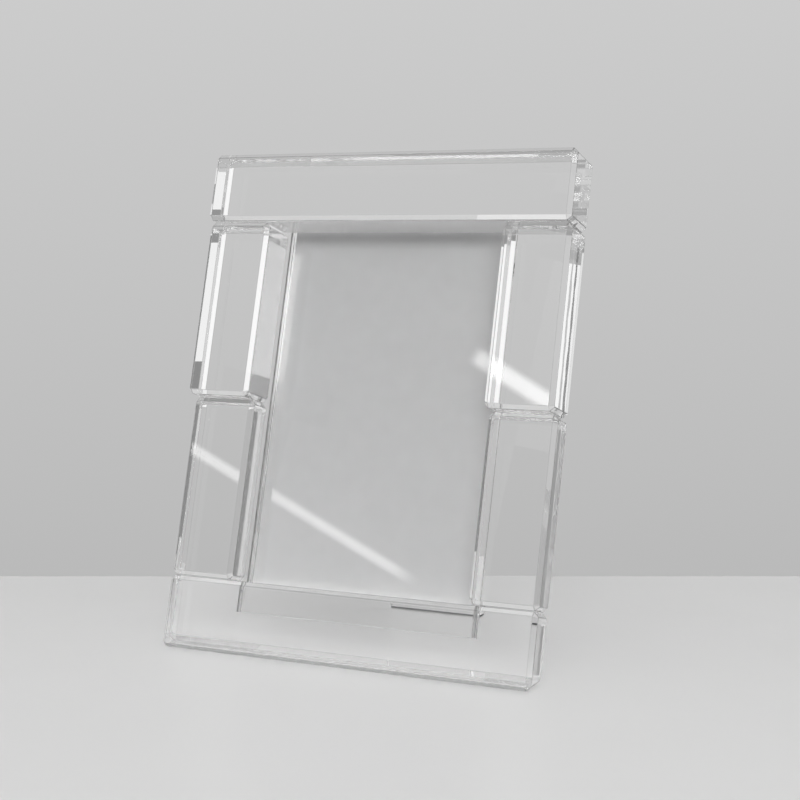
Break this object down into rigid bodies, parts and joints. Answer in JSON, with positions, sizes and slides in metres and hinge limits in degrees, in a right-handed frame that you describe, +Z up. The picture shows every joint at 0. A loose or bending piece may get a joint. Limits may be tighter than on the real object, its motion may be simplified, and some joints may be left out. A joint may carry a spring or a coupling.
{
  "type": "crystal picture frame",
  "caption": "Stepped picture frame of bonded clear crystal bars with a rear print pocket and a folding clear easel leg.",
  "frame": {"origin": "middle of the bottom bar's flat foot, on the table", "axes": "+Z up, -Y towards the viewer in front of the picture, +X to the viewer's right"},
  "size_m": [0.164, 0.1096, 0.2054],
  "materials": {
    "crystal": "polished optical crystal with chamfered edges",
    "clear_acrylic": "polished clear sheet",
    "grey_card": "plain coated card",
    "polished_steel": "polished stainless steel",
    "clear_nylon": "natural translucent nylon",
    "dark_rubber": "matt sheet rubber"
  },
  "bodies": {
    "frame": {"bottom_bar": "crystal", "lower_left_block": "crystal", "lower_right_block": "crystal", "upper_left_block": "crystal", "upper_right_block": "crystal", "top_bar": "crystal", "glazing_pane": "clear_acrylic", "pocket_ledge": "clear_acrylic", "left_pocket_strip": "clear_acrylic", "right_pocket_strip": "clear_acrylic", "back_sheet": "clear_acrylic", "hinge_lug": "clear_acrylic"},
    "leg": {"easel_leg": "clear_acrylic", "hinge_pin": "polished_steel", "left_hinge_washer": "clear_nylon", "right_hinge_washer": "clear_nylon", "left_pin_cap": "polished_steel", "right_pin_cap": "polished_steel", "foot_pad": "dark_rubber"},
    "card": {"picture_card": "grey_card"}
  },
  "joints": [
    {"name": "easel_fold", "type": "hinge", "parent": "frame", "child": "leg", "pos_m": [0, 0.05518, 0.12266], "axis": [1, 0, 0], "range_deg": [-36, 0]},
    {"name": "card_slide", "type": "slide", "parent": "frame", "child": "card", "axis": [0, 0.2723, 0.9622], "range_m": [0, 0.165]}
  ]
}
